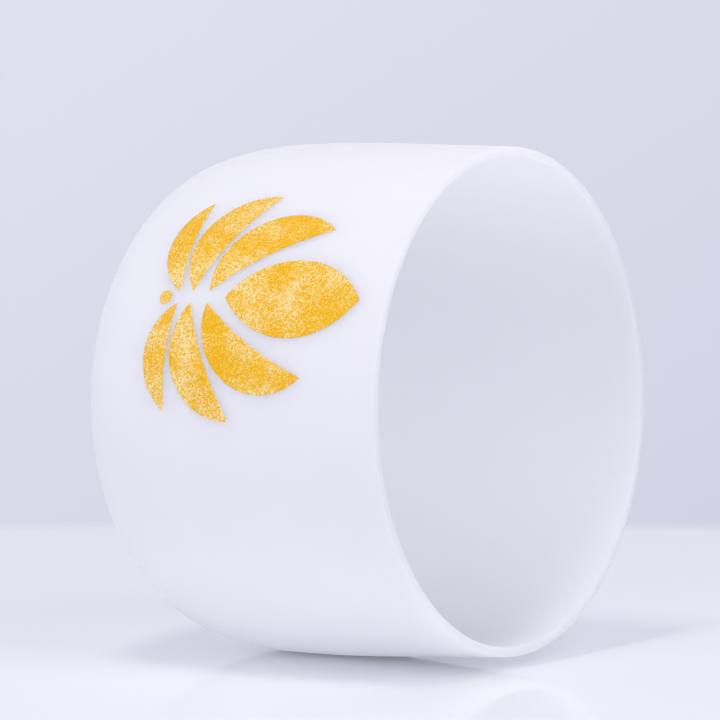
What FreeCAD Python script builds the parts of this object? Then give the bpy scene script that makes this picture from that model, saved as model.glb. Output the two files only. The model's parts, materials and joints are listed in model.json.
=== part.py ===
import FreeCAD, Part
import math
import os
import Sketcher

# Quartz singing bowl lying at rest on its belly, with a gold-leaf lotus on its wall.
# Each piece is built about the bowl's own axis: the rim plane is x = 0, the closed end lies
# towards -X and the axis is y = z = 0. One placement then lays every piece on the ground.
# Millimetres and degrees.

SIZES = {
    # bowl
    "rim_diameter": 203.2,
    "depth": 168.0,
    "wall": 4.0,
    "wall_flare": 1.8,         # how far the wall opens from the rim towards the belly
    "shoulder_height": 110.0,  # where the straight wall turns into the belly, above the base
    "belly_radius": 540.0,
    "haunch_height": 68.0,     # where the belly turns into the haunch, above the base
    "haunch_radius": 107.0,
    "knuckle_radius": 39.0,
    "crown_radius": 176.0,
    "base_flat": 30.0,         # ground spot that the bowl stands on when it is upright
    "lip_round": 1.0,
    "lean": 2.0,               # how far the mouth is raised as the bowl lies on its belly
    # lotus: a root is measured from its centre towards the mouth
    "leaf_thick": 0.4,
    "mark_from_rim": 57.0,     # centre of the lotus, along the axis
    "mark_angle": 27.0,        # centre of the lotus, above the horizontal
    "petal_spread": 2.5,       # from the centre line to the roots of a pair
    "crown_petal_length": 62.0,
    "crown_petal_belly": 16.5,
    "crown_petal_root": -17.0,
    "inner_petal_length": 56.0,
    "inner_petal_belly": 20.0,
    "inner_petal_hollow": 2.5,
    "inner_petal_angle": 31.0,
    "inner_petal_root": -25.0,
    "outer_petal_length": 51.0,
    "outer_petal_belly": 17.0,
    "outer_petal_hollow": 1.5,
    "outer_petal_angle": 63.0,
    "outer_petal_root": -33.0,
    "low_leaf_length": 42.0,
    "low_leaf_belly": 12.0,
    "low_leaf_hollow": 1.0,
    "low_leaf_angle": 92.0,
    "low_leaf_root": -39.5,
    "bead_diameter": 6.0,
    "bead_root": -46.0,
}

# The petals in pairs, each with the prefix of its sizes
PETAL_PAIRS = ["inner_petal", "outer_petal", "low_leaf"]
SIDES = {"upper": 1, "lower": -1}

NORMAL = FreeCAD.Vector(0, 0, 1)

# Formulas that several constraints and placements share, in the sheet's sizes.
# The belly arc's centre lies BELLY_X behind the rim plane and BELLY_Y above the axis.
FLARE = "Sizes.wall_flare * 1deg"
LEAN = "Sizes.lean * 1deg"
STRAIGHT = "(Sizes.depth - Sizes.shoulder_height)"
BELLY_X = f"({STRAIGHT} + Sizes.belly_radius * sin({FLARE}))"
BELLY_Y = (f"(Sizes.rim_diameter / 2 + {STRAIGHT} * tan({FLARE})"
           f" - Sizes.belly_radius * cos({FLARE}))")
BELLY_END = "(Sizes.depth - Sizes.haunch_height)"
HAUNCH_X = f"{BELLY_END} - Sizes.haunch_radius * ({BELLY_END} - {BELLY_X}) / Sizes.belly_radius"
CROWN_RISE = "sqrt(pow(Sizes.crown_radius; 2) - pow(Sizes.base_flat / 2; 2))"

doc = FreeCAD.newDocument("SingingBowl")
sheet = doc.addObject("Spreadsheet::Sheet", "Sizes")
for row, (alias, value) in enumerate(SIZES.items(), start=1):
    sheet.set(f"A{row}", alias)
    sheet.set(f"B{row}", str(value))
    sheet.setAlias(f"B{row}", alias)
doc.recompute()


def new_body(name):
    body = doc.addObject("PartDesign::Body", name)
    body.Label = name
    return body


def new_sketch(body, name):
    sketch = body.newObject("Sketcher::SketchObject", name)
    plane = [f for f in body.Origin.OriginFeatures if f.Role == "XY_Plane"][0]
    sketch.AttachmentSupport = [(plane, "")]
    sketch.MapMode = "FlatFace"
    return sketch


def evaluate(expression):
    return float(sheet.evalExpression(expression.replace("Sizes.", "")))


def constrain(sketch, kind, *where, size=None):
    """Add a constraint, bound to an expression of the sheet's sizes when one is given."""
    if size is None:
        sketch.addConstraint(Sketcher.Constraint(kind, *where))
        return
    value = math.radians(evaluate(size)) if kind == "Angle" else evaluate(size)
    index = sketch.addConstraint(Sketcher.Constraint(kind, *where, value))
    sketch.setExpression(f"Constraints[{index}]", size)


def point(x, y):
    return FreeCAD.Vector(x, y, 0)


def arc(centre, radius, start, end):
    """Arc about centre that runs anticlockwise from the point start to the point end."""
    angles = [math.atan2(p[1] - centre[1], p[0] - centre[0]) for p in (start, end)]
    return Part.ArcOfCircle(Part.Circle(point(*centre), NORMAL, radius), *angles)


def beyond(centre, other, radius):
    """Point at radius from centre, on the line that comes from other."""
    reach = math.dist(centre, other)
    return tuple(c + (c - o) / reach * radius for c, o in zip(centre, other))


def arc_centres():
    """Centres of the belly, haunch, knuckle and crown arcs, each tangent to the next."""
    v = SIZES
    flare = math.radians(v["wall_flare"])
    straight = v["depth"] - v["shoulder_height"]
    belly = (-straight - v["belly_radius"] * math.sin(flare),
             v["rim_diameter"] / 2 + straight * math.tan(flare)
             - v["belly_radius"] * math.cos(flare))
    end_x = v["haunch_height"] - v["depth"]
    belly_end = (end_x, belly[1] + math.sqrt(v["belly_radius"] ** 2 - (end_x - belly[0]) ** 2))
    haunch = beyond(belly_end, belly, -v["haunch_radius"])
    crown = (math.sqrt(v["crown_radius"] ** 2 - (v["base_flat"] / 2) ** 2) - v["depth"], 0.0)
    to_haunch = v["haunch_radius"] - v["knuckle_radius"]
    to_crown = v["crown_radius"] - v["knuckle_radius"]
    gap = math.dist(haunch, crown)
    along = (to_haunch ** 2 - to_crown ** 2 + gap ** 2) / (2 * gap)
    across = math.sqrt(to_haunch ** 2 - along ** 2)
    ux, uy = (crown[0] - haunch[0]) / gap, (crown[1] - haunch[1]) / gap
    knuckle = (haunch[0] + ux * along - uy * across, haunch[1] + uy * along + ux * across)
    return belly, haunch, knuckle, crown


def wall_profile(body, name, offset):
    """Half section of the bowl's outside, moved outwards by offset: a signed size, or 0."""
    sketch = new_sketch(body, name)
    belly, haunch, knuckle, crown = arc_centres()
    out = evaluate(offset)
    flare = math.radians(SIZES["wall_flare"])
    belly_r, haunch_r, knuckle_r, crown_r = [
        SIZES[f"{part}_radius"] + out for part in ("belly", "haunch", "knuckle", "crown")]
    wall_end = (belly[0] + belly_r * math.sin(flare), belly[1] + belly_r * math.cos(flare))
    rim = (0.0, wall_end[1] + wall_end[0] * math.tan(flare))
    waist = beyond(haunch, belly, haunch_r)
    knee = beyond(knuckle, haunch, knuckle_r)
    turn = beyond(knuckle, crown, knuckle_r)
    floor_x = -SIZES["depth"] - out
    floor_edge = (floor_x, math.sqrt(crown_r ** 2 - (crown[0] - floor_x) ** 2))
    shapes = [
        Part.LineSegment(point(*rim), point(*wall_end)),
        arc(belly, belly_r, wall_end, waist),
        arc(haunch, haunch_r, waist, knee),
        arc(knuckle, knuckle_r, knee, turn),
        arc(crown, crown_r, turn, floor_edge),
        Part.LineSegment(point(*floor_edge), point(floor_x, 0)),
        Part.LineSegment(point(floor_x, 0), point(0, 0)),
        Part.LineSegment(point(0, 0), point(*rim)),
    ]
    wall, bend, hip, knob, dome, floor, axis, mouth = sketch.addGeometry(shapes, False)
    constrain(sketch, "Tangent", wall, 2, bend, 1)
    constrain(sketch, "Tangent", bend, 2, hip, 1)
    constrain(sketch, "Tangent", hip, 2, knob, 1)
    constrain(sketch, "Tangent", knob, 2, dome, 1)
    constrain(sketch, "Coincident", dome, 2, floor, 1)
    constrain(sketch, "Coincident", floor, 2, axis, 1)
    constrain(sketch, "Coincident", axis, 2, -1, 1)
    constrain(sketch, "Coincident", mouth, 1, -1, 1)
    constrain(sketch, "Coincident", mouth, 2, wall, 1)
    constrain(sketch, "Vertical", mouth)
    constrain(sketch, "Vertical", floor)
    constrain(sketch, "Horizontal", axis)
    constrain(sketch, "PointOnObject", dome, 3, -1)
    rim_y = f"Sizes.rim_diameter / 2 + ({offset}) / cos({FLARE})"
    end_x = f"{STRAIGHT} - ({offset}) * sin({FLARE})"
    constrain(sketch, "DistanceY", -1, 1, wall, 1, size=rim_y)
    constrain(sketch, "DistanceX", wall, 2, -1, 1, size=end_x)
    constrain(sketch, "Angle", wall, size="(180 - Sizes.wall_flare) * 1deg")
    constrain(sketch, "Radius", bend, size=f"Sizes.belly_radius + ({offset})")
    constrain(sketch, "Radius", hip, size=f"Sizes.haunch_radius + ({offset})")
    constrain(sketch, "Radius", knob, size=f"Sizes.knuckle_radius + ({offset})")
    constrain(sketch, "Radius", dome, size=f"Sizes.crown_radius + ({offset})")
    constrain(sketch, "DistanceX", hip, 3, -1, 1, size=HAUNCH_X)
    constrain(sketch, "DistanceX", floor, 1, -1, 1, size=f"Sizes.depth + ({offset})")
    constrain(sketch, "DistanceX", floor, 1, dome, 3, size=f"{CROWN_RISE} + ({offset})")
    return sketch


def shell(name, outside, inside):
    """Wall between two offsets of the bowl's outside, open at the rim plane."""
    body = new_body(name)
    solid = body.newObject("PartDesign::Revolution", name + "_outside")
    solid.Profile = wall_profile(body, name + "_outside_profile", outside)
    solid.ReferenceAxis = (solid.Profile[0], ["H_Axis"])
    solid.Angle = 360
    doc.recompute()
    filled = solid.Shape.Volume
    hollow = body.newObject("PartDesign::Groove", name + "_inside")
    hollow.Profile = wall_profile(body, name + "_inside_profile", inside)
    hollow.ReferenceAxis = (hollow.Profile[0], ["H_Axis"])
    hollow.Angle = 360
    doc.recompute()
    if not 0 < hollow.Shape.Volume < filled / 2:
        raise RuntimeError(name + " is not hollow")
    return body


def round_lip(body):
    """Round both edges of the flat-cut lip, which are the two circles in the rim plane."""
    cut = body.Tip
    edges = [f"Edge{i}" for i, edge in enumerate(cut.Shape.Edges, start=1)
             if max(abs(v.X) for v in edge.Vertexes) < 1e-6]
    fillet = body.newObject("PartDesign::Fillet", body.Name + "_lip")
    fillet.Base = (cut, edges)
    fillet.setExpression("Radius", "Sizes.lip_round")
    doc.recompute()


def stencil(name, draw, root, side=0, angle=None):
    """Body that runs from the bowl's axis out past its wall, with a drawn outline.

    The outline's own X points from its root towards the mouth, turned to one side by angle.
    """
    body = new_body(name + "_stencil")
    sketch = new_sketch(body, name + "_outline")
    draw(sketch)
    sketch.setExpression("AttachmentOffset.Base.x", root)
    if angle is not None:
        sketch.setExpression("AttachmentOffset.Base.y", f"{side} * Sizes.petal_spread")
        sketch.AttachmentOffset.Rotation.Axis = NORMAL
        sketch.setExpression("AttachmentOffset.Rotation.Angle", f"{side} * {angle}")
    pad = body.newObject("PartDesign::Pad", name + "_pad")
    pad.Profile = sketch
    pad.setExpression("Length", "Sizes.rim_diameter")
    body.Placement = FreeCAD.Placement(FreeCAD.Vector(), FreeCAD.Rotation(FreeCAD.Vector(1, 0, 0), 1))
    body.setExpression("Placement.Base.x", "-Sizes.mark_from_rim")
    body.setExpression("Placement.Rotation.Angle", "90 - Sizes.mark_angle")
    doc.recompute()
    return body


def leaf_arc(sketch, length, rise, side):
    """Arc from the root at the origin to the tip, rising by a signed size at its middle."""
    span, height = evaluate(length), side * evaluate(rise)
    middle = point(span / 2, height)
    shape = Part.Arc(point(0, 0), middle, point(span, 0))
    index = sketch.addGeometry(shape)
    clockwise = height > 0
    start, end = (2, 1) if clockwise else (1, 2)
    constrain(sketch, "Coincident", index, start, -1, 1)
    constrain(sketch, "Radius", index, size=f"(pow({length} / 2; 2) + pow({rise}; 2)) / (2 * {rise})")
    return index, end


def draw_leaf(prefix, side, hollow):
    """Pointed leaf of two arcs: its belly is on the given side, and its other edge is either
    the same arc mirrored or follows the belly as a hollow."""
    length, belly = f"Sizes.{prefix}_length", f"Sizes.{prefix}_belly"

    def draw(sketch):
        outer, outer_tip = leaf_arc(sketch, length, belly, side)
        if hollow:
            inner, inner_tip = leaf_arc(sketch, length, f"Sizes.{prefix}_hollow", side)
        else:
            inner, inner_tip = leaf_arc(sketch, length, belly, -side)
        constrain(sketch, "Coincident", inner, inner_tip, outer, outer_tip)
        constrain(sketch, "PointOnObject", outer, outer_tip, -1)
        constrain(sketch, "DistanceX", -1, 1, outer, outer_tip, size=length)
    return draw


def draw_bead(sketch):
    radius = evaluate("Sizes.bead_diameter") / 2
    bead = sketch.addGeometry(Part.Circle(point(0, 0), NORMAL, radius))
    constrain(sketch, "Coincident", bead, 3, -1, 1)
    constrain(sketch, "Diameter", bead, size="Sizes.bead_diameter")


def gold_leaf(name, stencil_body):
    """Where the stencil meets the skin that lies on the bowl's outside."""
    piece = doc.addObject("Part::Common", name)
    piece.Label = name
    piece.Base = gold_skin
    piece.Tool = stencil_body
    return piece


def lay_down(piece):
    """Turn the bowl about Y until its mouth is raised by the lean, then lift the belly onto
    z = 0 and centre the whole bowl on x = 0."""
    lift = f"{BELLY_X} * sin({LEAN}) + {BELLY_Y} * cos({LEAN}) + Sizes.belly_radius"
    back = f"Sizes.depth * cos({LEAN}) + Sizes.base_flat / 2 * sin({LEAN})"
    front = (f"(Sizes.rim_diameter / 2 - Sizes.lip_round) * sin({LEAN})"
             f" + Sizes.lip_round * (1 - cos({LEAN}))")
    piece.Placement = FreeCAD.Placement(FreeCAD.Vector(), FreeCAD.Rotation(FreeCAD.Vector(0, 1, 0), 1))
    piece.setExpression("Placement.Base.x", f"({back} - ({front})) / 2")
    piece.setExpression("Placement.Base.z", lift)
    piece.setExpression("Placement.Rotation.Angle", "-Sizes.lean")


bowl = shell("bowl", "0", "-Sizes.wall")
round_lip(bowl)
gold_skin = shell("gold_skin", "Sizes.leaf_thick", "0")

pieces = [bowl]
crown_stencil = stencil("crown_petal", draw_leaf("crown_petal", 1, False), "Sizes.crown_petal_root")
pieces.append(gold_leaf("lotus_crown_petal", crown_stencil))
for prefix in PETAL_PAIRS:
    for side_name, side in SIDES.items():
        cutter = stencil(f"{prefix}_{side_name}", draw_leaf(prefix, side, True),
                         f"Sizes.{prefix}_root", side, f"Sizes.{prefix}_angle")
        pieces.append(gold_leaf(f"lotus_{prefix}_{side_name}", cutter))
pieces.append(gold_leaf("lotus_bead", stencil("bead", draw_bead, "Sizes.bead_root")))

for piece in pieces:
    lay_down(piece)
doc.recompute()

for item in doc.Objects:
    if {"Invalid", "Error"} & set(item.State):
        raise RuntimeError(f"{item.Label} did not build: {item.State}")
os.makedirs("parts", exist_ok=True)
for piece in pieces:
    if piece.Shape.isNull() or not piece.Shape.isValid() or len(piece.Shape.Solids) != 1:
        raise RuntimeError(f"{piece.Label} is not one valid solid")
    piece.Shape.exportStep(f"parts/{piece.Label}.step")
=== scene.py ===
import json
import math

import bmesh
import bpy
from mathutils import Matrix, Vector


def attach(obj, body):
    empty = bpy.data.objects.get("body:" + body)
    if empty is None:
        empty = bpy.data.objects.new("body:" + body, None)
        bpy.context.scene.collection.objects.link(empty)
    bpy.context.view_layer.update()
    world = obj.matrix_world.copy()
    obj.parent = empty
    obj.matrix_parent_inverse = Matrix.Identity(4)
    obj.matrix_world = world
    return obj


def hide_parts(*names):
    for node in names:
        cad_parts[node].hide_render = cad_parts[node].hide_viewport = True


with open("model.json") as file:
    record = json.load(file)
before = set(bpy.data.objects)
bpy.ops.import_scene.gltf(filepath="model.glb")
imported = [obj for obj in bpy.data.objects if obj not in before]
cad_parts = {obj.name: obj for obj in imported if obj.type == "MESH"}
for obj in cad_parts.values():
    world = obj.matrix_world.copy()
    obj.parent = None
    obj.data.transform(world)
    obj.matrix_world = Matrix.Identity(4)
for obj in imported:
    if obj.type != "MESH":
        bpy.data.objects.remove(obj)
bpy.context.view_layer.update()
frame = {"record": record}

# A frosted quartz singing bowl lying on its belly on a glossy white table, with a lotus of
# gold leaf on its wall. Lengths are in metres and angles in radians, unless a name or a comment
# says otherwise. The bowl is built about its own axis: the rim plane is x = 0, the closed end
# lies towards -X, and one matrix from the frame's mounts lays it down.

# The bowl's section, the same as the CAD model's
RIM_RADIUS = 0.1016
DEPTH = 0.168
WALL = 0.004
WALL_FLARE = math.radians(1.8)
SHOULDER_HEIGHT = 0.110
BELLY_RADIUS = 0.540
HAUNCH_HEIGHT = 0.068
HAUNCH_RADIUS = 0.107
KNUCKLE_RADIUS = 0.039
CROWN_RADIUS = 0.176
BASE_FLAT = 0.030
LIP_ROUND = 0.001

# Steps of the bowl's mesh
AROUND = 384
LINE_STEPS = 12
BELLY_STEPS = 10
HAUNCH_STEPS = 8
KNUCKLE_STEPS = 20
CROWN_STEPS = 20
FLAT_STEPS = 4                # across the base flat, and across the flat of the lip
LIP_STEPS = 6

# The lotus, the same as the CAD model's: a root is measured from its centre to the mouth
LEAF_THICK = 0.0004
LEAF_EDGE = 0.0004            # width of the rounded edge of a leaf
EDGE_PARTS = (0.0, 0.12, 0.35, 0.7, 1.0)     # parts of that edge that get a line of points
MARK_FROM_RIM = 0.057
MARK_ANGLE = math.radians(27)
PETAL_SPREAD = 0.0025
BEAD_RADIUS = 0.003
BEAD_ROOT = -0.046
BEAD_RINGS = (0.0, 0.0006, 0.0012, 0.0018)   # rings of points on the bead's flat
BEAD_STEPS = 48
PETAL_STEPS = 72
PETAL_LINES = 8               # strips across a petal
# length, belly, hollow, angle in degrees and root of each kind of petal
PETALS = {
    "crown_petal": (0.062, 0.0165, -0.0165, 0, -0.017),
    "inner_petal": (0.056, 0.020, 0.0025, 31, -0.025),
    "outer_petal": (0.051, 0.017, 0.0015, 63, -0.033),
    "low_leaf": (0.042, 0.012, 0.001, 92, -0.0395),
}
SIDES = {"upper": 1, "lower": -1}


# ---------------------------------------------------------------- the bowl's section

def beyond(centre, other, reach):
    """Point at reach from centre, on the line that comes from other."""
    gap = math.dist(centre, other)
    return tuple(c + (c - o) / gap * reach for c, o in zip(centre, other))


def arc_centres():
    """Centres of the belly, haunch, knuckle and crown arcs, each tangent to the next."""
    straight = DEPTH - SHOULDER_HEIGHT
    belly = (-straight - BELLY_RADIUS * math.sin(WALL_FLARE),
             RIM_RADIUS + straight * math.tan(WALL_FLARE) - BELLY_RADIUS * math.cos(WALL_FLARE))
    end_x = HAUNCH_HEIGHT - DEPTH
    belly_end = (end_x, belly[1] + math.sqrt(BELLY_RADIUS ** 2 - (end_x - belly[0]) ** 2))
    haunch = beyond(belly_end, belly, -HAUNCH_RADIUS)
    crown = (math.sqrt(CROWN_RADIUS ** 2 - (BASE_FLAT / 2) ** 2) - DEPTH, 0.0)
    to_haunch = HAUNCH_RADIUS - KNUCKLE_RADIUS
    to_crown = CROWN_RADIUS - KNUCKLE_RADIUS
    gap = math.dist(haunch, crown)
    along = (to_haunch ** 2 - to_crown ** 2 + gap ** 2) / (2 * gap)
    across = math.sqrt(to_haunch ** 2 - along ** 2)
    ux, uy = (crown[0] - haunch[0]) / gap, (crown[1] - haunch[1]) / gap
    knuckle = (haunch[0] + ux * along - uy * across, haunch[1] + uy * along + ux * across)
    return belly, haunch, knuckle, crown


BELLY, HAUNCH, KNUCKLE, CROWN = arc_centres()


def arc_points(centre, radius, start, end, steps):
    """Points of an arc after its start, as far as its end."""
    first, last = [math.atan2(p[1] - centre[1], p[0] - centre[0]) for p in (start, end)]
    return [(centre[0] + radius * math.cos(first + (last - first) * i / steps),
             centre[1] + radius * math.sin(first + (last - first) * i / steps))
            for i in range(1, steps + 1)]


def wall_line(offset):
    """Half section of the outside, moved out by offset, from the rim plane to the base flat.
    The point where it meets the axis is given apart."""
    belly_r, haunch_r, knuckle_r, crown_r = [
        r + offset for r in (BELLY_RADIUS, HAUNCH_RADIUS, KNUCKLE_RADIUS, CROWN_RADIUS)]
    wall_end = (BELLY[0] + belly_r * math.sin(WALL_FLARE),
                BELLY[1] + belly_r * math.cos(WALL_FLARE))
    rim = (0.0, wall_end[1] + wall_end[0] * math.tan(WALL_FLARE))
    waist = beyond(HAUNCH, BELLY, haunch_r)
    knee = beyond(KNUCKLE, HAUNCH, knuckle_r)
    turn = beyond(KNUCKLE, CROWN, knuckle_r)
    floor_x = -DEPTH - offset
    floor_edge = (floor_x, math.sqrt(crown_r ** 2 - (CROWN[0] - floor_x) ** 2))
    points = [rim] + [tuple(a + (b - a) * i / LINE_STEPS for a, b in zip(rim, wall_end))
                      for i in range(1, LINE_STEPS + 1)]
    points += arc_points(BELLY, belly_r, wall_end, waist, BELLY_STEPS)
    points += arc_points(HAUNCH, haunch_r, waist, knee, HAUNCH_STEPS)
    points += arc_points(KNUCKLE, knuckle_r, knee, turn, KNUCKLE_STEPS)
    points += arc_points(CROWN, crown_r, turn, floor_edge, CROWN_STEPS)
    points += [(floor_x, floor_edge[1] * (1 - i / FLAT_STEPS)) for i in range(1, FLAT_STEPS)]
    return points, (floor_x, 0.0)


def lip_points(outer_rim, inner_rim):
    """Section of the flat-cut lip, its two edges rounded, from the inside to the outside."""
    turns = [math.pi / 2 * i / LIP_STEPS for i in range(LIP_STEPS + 1)]
    inside = [(-LIP_ROUND * (1 - math.sin(a)), inner_rim + LIP_ROUND * (1 - math.cos(a)))
              for a in turns]
    outside = [(-LIP_ROUND * (1 - math.cos(a)), outer_rim - LIP_ROUND * (1 - math.sin(a)))
               for a in turns]
    flat_width = outer_rim - inner_rim - 2 * LIP_ROUND
    flat = [(0.0, inner_rim + LIP_ROUND + flat_width * i / FLAT_STEPS)
            for i in range(1, FLAT_STEPS)]
    return inside + flat + outside


OUTSIDE, OUTSIDE_POLE = wall_line(0.0)
INSIDE, INSIDE_POLE = wall_line(-WALL)


def outer_radius(x):
    """Radius of the bowl's outside at a place along its axis."""
    for (x0, r0), (x1, r1) in zip(OUTSIDE, OUTSIDE[1:]):
        if x1 <= x <= x0:
            return r0 + (r1 - r0) * (x0 - x) / (x0 - x1)
    raise ValueError(f"{x} is not on the wall")


# ---------------------------------------------------------------- placing

def lay_down():
    """Matrix from the bowl's own axes to the frame, from the base mount on its closed end."""
    mounts = {m["name"]: m for m in frame["record"]["mounts"]}
    to_mouth = -Vector(mounts["base"]["axis"]).normalized()
    up = Vector((0, 1, 0)).cross(-to_mouth).normalized()
    turn = Matrix((to_mouth, (0, 1, 0), up)).transposed().to_4x4()
    rim_centre = Vector(mounts["base"]["pos_m"]) + to_mouth * DEPTH
    return Matrix.Translation(rim_centre) @ turn


LAID = lay_down()
SAME_POINT = 1e-6                # points nearer than this are one
SHARP_ANGLE = math.radians(50)   # a fold sharper than this stays an edge


def close_up(mesh):
    """Join points that meet, drop faces with no area and turn every face outwards."""
    shell = bmesh.new()
    shell.from_mesh(mesh)
    bmesh.ops.remove_doubles(shell, verts=shell.verts, dist=SAME_POINT)
    bmesh.ops.dissolve_degenerate(shell, edges=shell.edges, dist=SAME_POINT)
    bmesh.ops.recalc_face_normals(shell, faces=shell.faces)
    shell.to_mesh(mesh)
    shell.free()


def new_piece(name, vertices, faces, node, material):
    """A closed smooth mesh, laid down with the bowl, that stands for a CAD node."""
    mesh = bpy.data.meshes.new(name)
    mesh.from_pydata([LAID @ Vector(v) for v in vertices], [], faces)
    close_up(mesh)
    mesh.polygons.foreach_set("use_smooth", [True] * len(mesh.polygons))
    mesh.set_sharp_from_angle(angle=SHARP_ANGLE)
    mesh.materials.append(material)
    mesh.update()
    piece = bpy.data.objects.new(name, mesh)
    bpy.context.scene.collection.objects.link(piece)
    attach(piece, "root")
    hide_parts(node)


def build_bowl(material):
    """The whole shell as one closed mesh of revolution."""
    loop = list(reversed(INSIDE[1:])) + lip_points(OUTSIDE[0][1], INSIDE[0][1]) + OUTSIDE[1:]
    vertices = [(*INSIDE_POLE, 0.0)]
    for x, r in loop:
        for i in range(AROUND):
            a = 2 * math.pi * i / AROUND
            vertices.append((x, r * math.cos(a), r * math.sin(a)))
    vertices.append((*OUTSIDE_POLE, 0.0))
    faces = []
    for i in range(AROUND):
        j = (i + 1) % AROUND
        faces.append((0, 1 + j, 1 + i))
        for ring in range(len(loop) - 1):
            a, b = 1 + ring * AROUND, 1 + (ring + 1) * AROUND
            faces.append((a + i, a + j, b + j, b + i))
        last = 1 + (len(loop) - 1) * AROUND
        faces.append((last + i, last + j, len(vertices) - 1))
    new_piece("quartz_bowl", vertices, faces, "bowl", material)


# ---------------------------------------------------------------- the lotus

def on_wall(u, v, height):
    """Point of the bowl's outside, raised by height, seen square on from the lotus' middle.
    u is towards the mouth and v is up the wall, both from the middle of the lotus."""
    x = u - MARK_FROM_RIM
    radius = outer_radius(x)
    out = math.sqrt(radius ** 2 - v ** 2)
    lift = (radius + height) / radius
    across, along = v * lift, out * lift
    return (x, across * math.sin(MARK_ANGLE) - along * math.cos(MARK_ANGLE),
            across * math.cos(MARK_ANGLE) + along * math.sin(MARK_ANGLE))


def bulge(length, rise, along):
    """How far an arc of this rise stands off its chord, at a place along the chord."""
    if rise == 0:
        return 0.0
    radius = (length ** 2 / 4 + rise ** 2) / (2 * abs(rise))
    reach = math.sqrt(radius ** 2 - (along - length / 2) ** 2) - (radius - abs(rise))
    return math.copysign(max(reach, 0.0), rise)


def leaf_height(inset):
    """Height of the leaf this far in from its edge: a quarter round, then flat."""
    if inset >= LEAF_EDGE:
        return LEAF_THICK
    return LEAF_THICK * math.sqrt(1 - (1 - inset / LEAF_EDGE) ** 2)


def sheet_of(rows, name, node, material):
    """Closed thin sheet over rows of (u, v, inset) that all have as many points."""
    width = len(rows[0])
    top = [on_wall(u, v, leaf_height(inset)) for row in rows for u, v, inset in row]
    under = [on_wall(u, v, 0.0) for row in rows for u, v, _ in row]
    start = len(top)
    faces = []
    for i in range(len(rows) - 1):
        for j in range(width - 1):
            a, b = i * width + j, (i + 1) * width + j
            faces.append((a, a + 1, b + 1, b))
            faces.append((start + a, start + b, start + b + 1, start + a + 1))
    new_piece(name, top + under, faces, node, material)


def build_petal(kind, side, node, material):
    """Pointed leaf between two arcs, in rows from its root to its tip."""
    length, belly, hollow, angle, root = PETALS[kind]
    turn = math.radians(angle) * side
    spread = PETAL_SPREAD * side if angle else 0.0
    rows = []
    for i in range(PETAL_STEPS + 1):
        along = length * (1 - math.cos(math.pi * i / PETAL_STEPS)) / 2
        edges = [bulge(length, rise * side, along) for rise in (hollow, belly)]
        width = abs(edges[1] - edges[0])
        rim = [min(k * LEAF_EDGE, width / 2) for k in EDGE_PARTS]
        middle = [width * k / PETAL_LINES for k in range(1, PETAL_LINES)]
        places = rim + [min(max(m, rim[-1]), width - rim[-1]) for m in middle]
        places += [width - k for k in reversed(rim)]
        row = []
        for place in places:
            y = edges[0] + math.copysign(place, edges[1] - edges[0])
            u = root + along * math.cos(turn) - y * math.sin(turn)
            v = spread + along * math.sin(turn) + y * math.cos(turn)
            row.append((u, v, min(place, width - place)))
        rows.append(row)
    sheet_of(rows, node.replace("lotus_", "gold_"), node, material)


def build_bead(material):
    """Round spot at the root of the lotus."""
    radii = list(BEAD_RINGS) + [BEAD_RADIUS - k * LEAF_EDGE for k in reversed(EDGE_PARTS)]
    rows = []
    for i in range(BEAD_STEPS + 1):
        a = 2 * math.pi * i / BEAD_STEPS
        rows.append([(BEAD_ROOT + r * math.cos(a), r * math.sin(a), BEAD_RADIUS - r)
                     for r in radii])
    sheet_of(rows, "gold_bead", "lotus_bead", material)


# ---------------------------------------------------------------- materials

# Textures: how many features to a metre, and how many finer layers
CLOUD_SCALE = 28
CLOUD_DETAIL = 4
GRAIN_SCALE = 2600
GRAIN_DETAIL = 3
WAVE_SCALE = 45
FLAKE_SCALE = 2200
DRIFT_SCALE = 60

QUARTZ_IOR = 1.46
QUARTZ_REACH = 0.04              # how far light spreads inside the wall
QUARTZ_REACH_RGB = (1.0, 1.0, 1.1)           # red, green and blue light's share of it
QUARTZ_CLOUDS = ((0.3, (0.972, 0.976, 0.98)), (0.7, (0.986, 0.989, 0.992)))
QUARTZ_ROUGHNESS = (0.42, 0.6)
GRAIN_BUMP = (0.00006, 0.35)     # height and strength
WAVE_BUMP = (0.0004, 0.25)

GOLD_METALLIC = 0.15
GOLD_SPECULAR = 0.35
GOLD_DRIFT = 1.4                 # how much the shade changes from patch to patch
GOLD_FLAKES = (-0.6, 0.3)        # how much it changes from flake to flake
GOLD_SHADES = ((0.2, (0.95, 0.47, 0.0)), (0.5, (0.97, 0.56, 0.0)),
               (0.7, (0.98, 0.66, 0.10)), (0.9, (1.0, 0.83, 0.46)))
GOLD_ROUGHNESS = (0.25, 0.6)
FLAKE_BUMP = (0.0002, 0.5)

TABLE_COLOUR = (0.95, 0.955, 0.97)
TABLE_ROUGHNESS = 0.06


def new_material(name):
    """A material, its nodes and links, and its shader."""
    material = bpy.data.materials.new(name)
    material.use_nodes = True
    nodes = material.node_tree.nodes
    return material, nodes, material.node_tree.links, nodes["Principled BSDF"]


def object_texture(nodes, links, kind, scale):
    """A texture node of this scale, per metre, in the object's own space."""
    place = nodes.new("ShaderNodeTexCoord")
    texture = nodes.new(kind)
    texture.inputs["Scale"].default_value = scale
    links.new(place.outputs["Object"], texture.inputs["Vector"])
    return texture


def ramp(nodes, links, source, stops):
    """Colours picked by a number, from stops of (place, colour)."""
    node = nodes.new("ShaderNodeValToRGB")
    while len(node.color_ramp.elements) < len(stops):
        node.color_ramp.elements.new(0.5)
    for element, (place, colour) in zip(node.color_ramp.elements, stops):
        element.position = place
        element.color = (*colour, 1.0)
    links.new(source, node.inputs["Fac"])
    return node.outputs["Color"]


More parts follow.
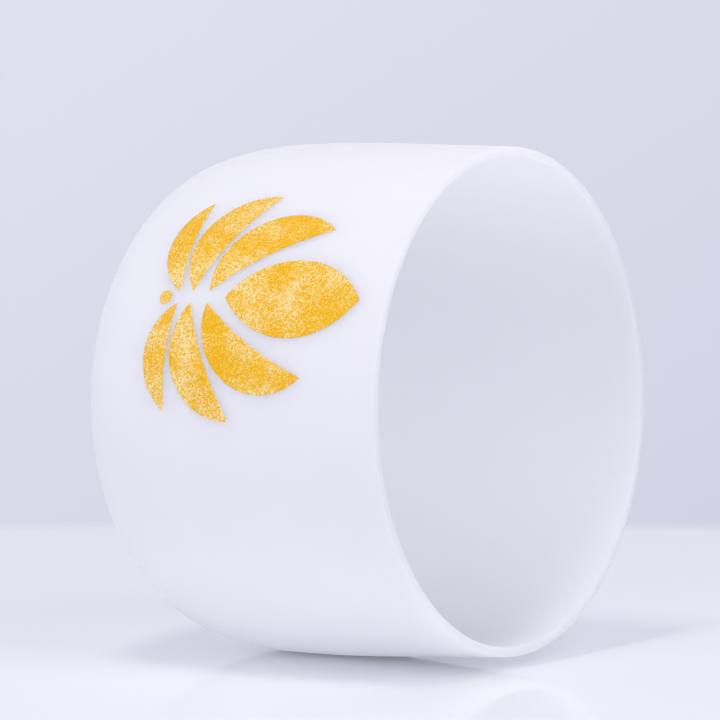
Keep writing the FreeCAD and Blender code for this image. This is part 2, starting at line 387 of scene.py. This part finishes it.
def bump(nodes, links, height, distance, strength, under=None):
    """Surface direction bent by a height, on top of another bump if one is given."""
    node = nodes.new("ShaderNodeBump")
    node.inputs["Distance"].default_value = distance
    node.inputs["Strength"].default_value = strength
    links.new(height, node.inputs["Height"])
    if under is not None:
        links.new(under, node.inputs["Normal"])
    return node.outputs["Normal"]


def to_range(nodes, links, source, low, high, start=0.0, end=1.0):
    """A number that goes from low to high while the source goes from start to end."""
    node = nodes.new("ShaderNodeMapRange")
    node.inputs["From Min"].default_value = start
    node.inputs["From Max"].default_value = end
    node.inputs["To Min"].default_value = low
    node.inputs["To Max"].default_value = high
    links.new(source, node.inputs["Value"])
    return node.outputs["Result"]


def frosted_quartz():
    """Milky fused quartz with a sandblasted face: light spreads inside the wall, with faint
    clouds in it, and the face has a fine grain over a slight waviness."""
    material, nodes, links, shader = new_material("frosted_quartz")
    shader.inputs["Subsurface Weight"].default_value = 1.0
    shader.inputs["Subsurface Scale"].default_value = QUARTZ_REACH
    shader.inputs["Subsurface Radius"].default_value = QUARTZ_REACH_RGB
    shader.inputs["IOR"].default_value = QUARTZ_IOR
    clouds = object_texture(nodes, links, "ShaderNodeTexNoise", CLOUD_SCALE)
    clouds.inputs["Detail"].default_value = CLOUD_DETAIL
    links.new(ramp(nodes, links, clouds.outputs["Fac"], QUARTZ_CLOUDS),
              shader.inputs["Base Color"])
    grain = object_texture(nodes, links, "ShaderNodeTexNoise", GRAIN_SCALE)
    grain.inputs["Detail"].default_value = GRAIN_DETAIL
    wave = object_texture(nodes, links, "ShaderNodeTexNoise", WAVE_SCALE)
    links.new(to_range(nodes, links, grain.outputs["Fac"], *QUARTZ_ROUGHNESS),
              shader.inputs["Roughness"])
    waved = bump(nodes, links, wave.outputs["Fac"], *WAVE_BUMP)
    links.new(bump(nodes, links, grain.outputs["Fac"], *GRAIN_BUMP, under=waved),
              shader.inputs["Normal"])
    return material


def gold_glitter():
    """Gold leaf in fine flakes: each flake has its own shade, tilt and shine."""
    material, nodes, links, shader = new_material("gold_leaf")
    shader.inputs["Metallic"].default_value = GOLD_METALLIC
    shader.inputs["Specular IOR Level"].default_value = GOLD_SPECULAR
    flakes = object_texture(nodes, links, "ShaderNodeTexVoronoi", FLAKE_SCALE)
    split = nodes.new("ShaderNodeSeparateColor")
    links.new(flakes.outputs["Color"], split.inputs["Color"])
    drift = object_texture(nodes, links, "ShaderNodeTexNoise", DRIFT_SCALE)
    shade = nodes.new("ShaderNodeMath")
    shade.operation = "MULTIPLY_ADD"
    links.new(drift.outputs["Fac"], shade.inputs[0])
    shade.inputs[1].default_value = GOLD_DRIFT
    links.new(to_range(nodes, links, split.outputs["Red"], *GOLD_FLAKES), shade.inputs[2])
    links.new(ramp(nodes, links, shade.outputs["Value"], GOLD_SHADES),
              shader.inputs["Base Color"])
    links.new(to_range(nodes, links, split.outputs["Green"], *GOLD_ROUGHNESS),
              shader.inputs["Roughness"])
    links.new(bump(nodes, links, split.outputs["Blue"], *FLAKE_BUMP), shader.inputs["Normal"])
    return material


def glossy_table(edge):
    """White lacquered table top, whose edge fades out over a short way."""
    material, nodes, links, shader = new_material("glossy_table")
    place = nodes.new("ShaderNodeTexCoord")
    reach = nodes.new("ShaderNodeVectorMath")
    reach.operation = "LENGTH"
    links.new(place.outputs["Object"], reach.inputs[0])
    links.new(to_range(nodes, links, reach.outputs["Value"], 1.0, 0.0, edge - TABLE_FADE, edge),
              shader.inputs["Alpha"])
    shader.inputs["Base Color"].default_value = (*TABLE_COLOUR, 1.0)
    shader.inputs["Roughness"].default_value = TABLE_ROUGHNESS
    return material


# ---------------------------------------------------------------- the studio

YAW = math.radians(33.51)        # camera's turn about Z from looking along +Y
PITCH = math.radians(4.773)      # camera's height above the horizon
CAMERA_REACH = 2.4264            # from the camera to what it looks at
LENS = 300                       # mm
SENSOR_WIDTH = 36                # mm
VIEW_END = 20                    # nothing farther than this from the camera is drawn
LOOK_AT = Vector((0.0089, 0.0, 0.1199))
TABLE_RADIUS = 1.2
TABLE_STEPS = 256
TABLE_BEHIND = 0.495             # how far the table runs on behind the bowl
TABLE_FADE = 0.045               # width of the table's soft edge
WALL_BRIGHT = (0.745, 0.738, 0.855)
WALL_DIM = (0.645, 0.638, 0.775)
WALL_SPREAD = 0.26               # how far along WALL_FALL the walls go dim
CEILING = (0.48, 0.48, 0.57)
CEILING_FROM = (0.15, 0.45)      # sines of the heights where the ceiling begins and is full

# name, place, width and height, watts and colour of each light, all aimed at the bowl
SOFTBOXES = (
    ("key_strip", Vector((0.08, -0.68, 1.88)), (0.3, 0.65), 10.4, (1.0, 0.98, 0.95)),
    ("side_strip", Vector((0.08, -1.96, 0.42)), (0.3, 0.65), 1.6, (0.97, 0.95, 1.0)),
    ("front_card", Vector((0.9, -1.8, 0.5)), (1.2, 0.8), 2.8, (0.9, 0.92, 1.0)),
    ("mouth_card", Vector((1.5, -0.4, 1.6)), (1.2, 1.2), 11.2, (1.0, 0.96, 1.0)),
    ("left_card", Vector((-1.7, -1.0, 1.0)), (1.0, 1.0), 3.4, (0.92, 0.95, 1.0)),
)
AIM_POINT = Vector((0.0, 0.0, 0.1))
LIGHT_BOUNCES = 24               # the pale wall passes light to and fro many times

TO_CAMERA = Vector((math.sin(YAW) * math.cos(PITCH), -math.cos(YAW) * math.cos(PITCH),
                    math.sin(PITCH)))
RIGHT = Vector((math.cos(YAW), math.sin(YAW), 0.0))
FORWARD = Vector((math.sin(YAW), -math.cos(YAW), 0.0))    # level, from the bowl towards the camera
UP = Vector((0.0, 0.0, 1.0))
WALL_FALL = RIGHT - UP * 1.6     # the walls dim down to the right, seen from the camera


def aim(item, at):
    """Turn a camera or a light to face a point."""
    item.rotation_euler = (at - item.location).to_track_quat("-Z", "Y").to_euler()


def add_camera():
    data = bpy.data.cameras.new("camera")
    data.lens = LENS
    data.sensor_width = SENSOR_WIDTH
    data.clip_end = VIEW_END
    camera = bpy.data.objects.new("camera", data)
    bpy.context.scene.collection.objects.link(camera)
    camera.location = LOOK_AT + TO_CAMERA * CAMERA_REACH
    aim(camera, LOOK_AT)
    bpy.context.scene.camera = camera


def add_softbox(name, place, size, watts, colour):
    """A rectangular light that lights everything but shows neither itself nor its mirror image."""
    data = bpy.data.lights.new(name, "AREA")
    data.shape = "RECTANGLE"
    data.size, data.size_y = size
    data.energy = watts
    data.color = colour
    light = bpy.data.objects.new(name, data)
    bpy.context.scene.collection.objects.link(light)
    light.location = place
    light.visible_camera = False
    light.visible_glossy = False
    aim(light, AIM_POINT)


def add_table():
    """A round table top, whose far edge makes the line behind the bowl."""
    material = glossy_table(TABLE_RADIUS)
    turns = [2 * math.pi * i / TABLE_STEPS for i in range(TABLE_STEPS)]
    vertices = [Vector((math.cos(a), math.sin(a), 0.0)) * TABLE_RADIUS for a in turns]
    mesh = bpy.data.meshes.new("table_top")
    mesh.from_pydata(vertices, [], [tuple(range(TABLE_STEPS))])
    mesh.materials.append(material)
    table = bpy.data.objects.new("table_top", mesh)
    table.location = FORWARD * (TABLE_RADIUS - TABLE_BEHIND)
    bpy.context.scene.collection.objects.link(table)


def add_world():
    """Pale walls, a little darker towards the right, under a dimmer ceiling."""
    world = bpy.data.worlds.new("studio")
    world.use_nodes = True
    nodes, links = world.node_tree.nodes, world.node_tree.links
    direction = nodes.new("ShaderNodeTexCoord").outputs["Generated"]
    across = nodes.new("ShaderNodeVectorMath")
    across.operation = "DOT_PRODUCT"
    across.inputs[1].default_value = WALL_FALL
    links.new(direction, across.inputs[0])
    spread = to_range(nodes, links, across.outputs["Value"], 0.0, 1.0, 0.0, WALL_SPREAD)
    walls = ramp(nodes, links, spread, [(0.0, WALL_BRIGHT), (1.0, WALL_DIM)])
    split = nodes.new("ShaderNodeSeparateXYZ")
    links.new(direction, split.inputs["Vector"])
    studio = nodes.new("ShaderNodeMix")
    studio.data_type = "RGBA"
    links.new(to_range(nodes, links, split.outputs["Z"], 0.0, 1.0, *CEILING_FROM),
              studio.inputs["Factor"])
    links.new(walls, studio.inputs["A"])
    studio.inputs["B"].default_value = (*CEILING, 1.0)
    links.new(studio.outputs["Result"], nodes["Background"].inputs["Color"])
    bpy.context.scene.world = world


# ---------------------------------------------------------------- building

quartz = frosted_quartz()
gold = gold_glitter()
build_bowl(quartz)
build_petal("crown_petal", 1, "lotus_crown_petal", gold)
for kind in ("inner_petal", "outer_petal", "low_leaf"):
    for side_name, side in SIDES.items():
        build_petal(kind, side, f"lotus_{kind}_{side_name}", gold)
build_bead(gold)

add_table()
add_world()
add_camera()
for softbox in SOFTBOXES:
    add_softbox(*softbox)
bpy.context.scene.view_settings.view_transform = "Standard"
bpy.context.scene.cycles.max_bounces = LIGHT_BOUNCES
bpy.context.scene.cycles.diffuse_bounces = LIGHT_BOUNCES
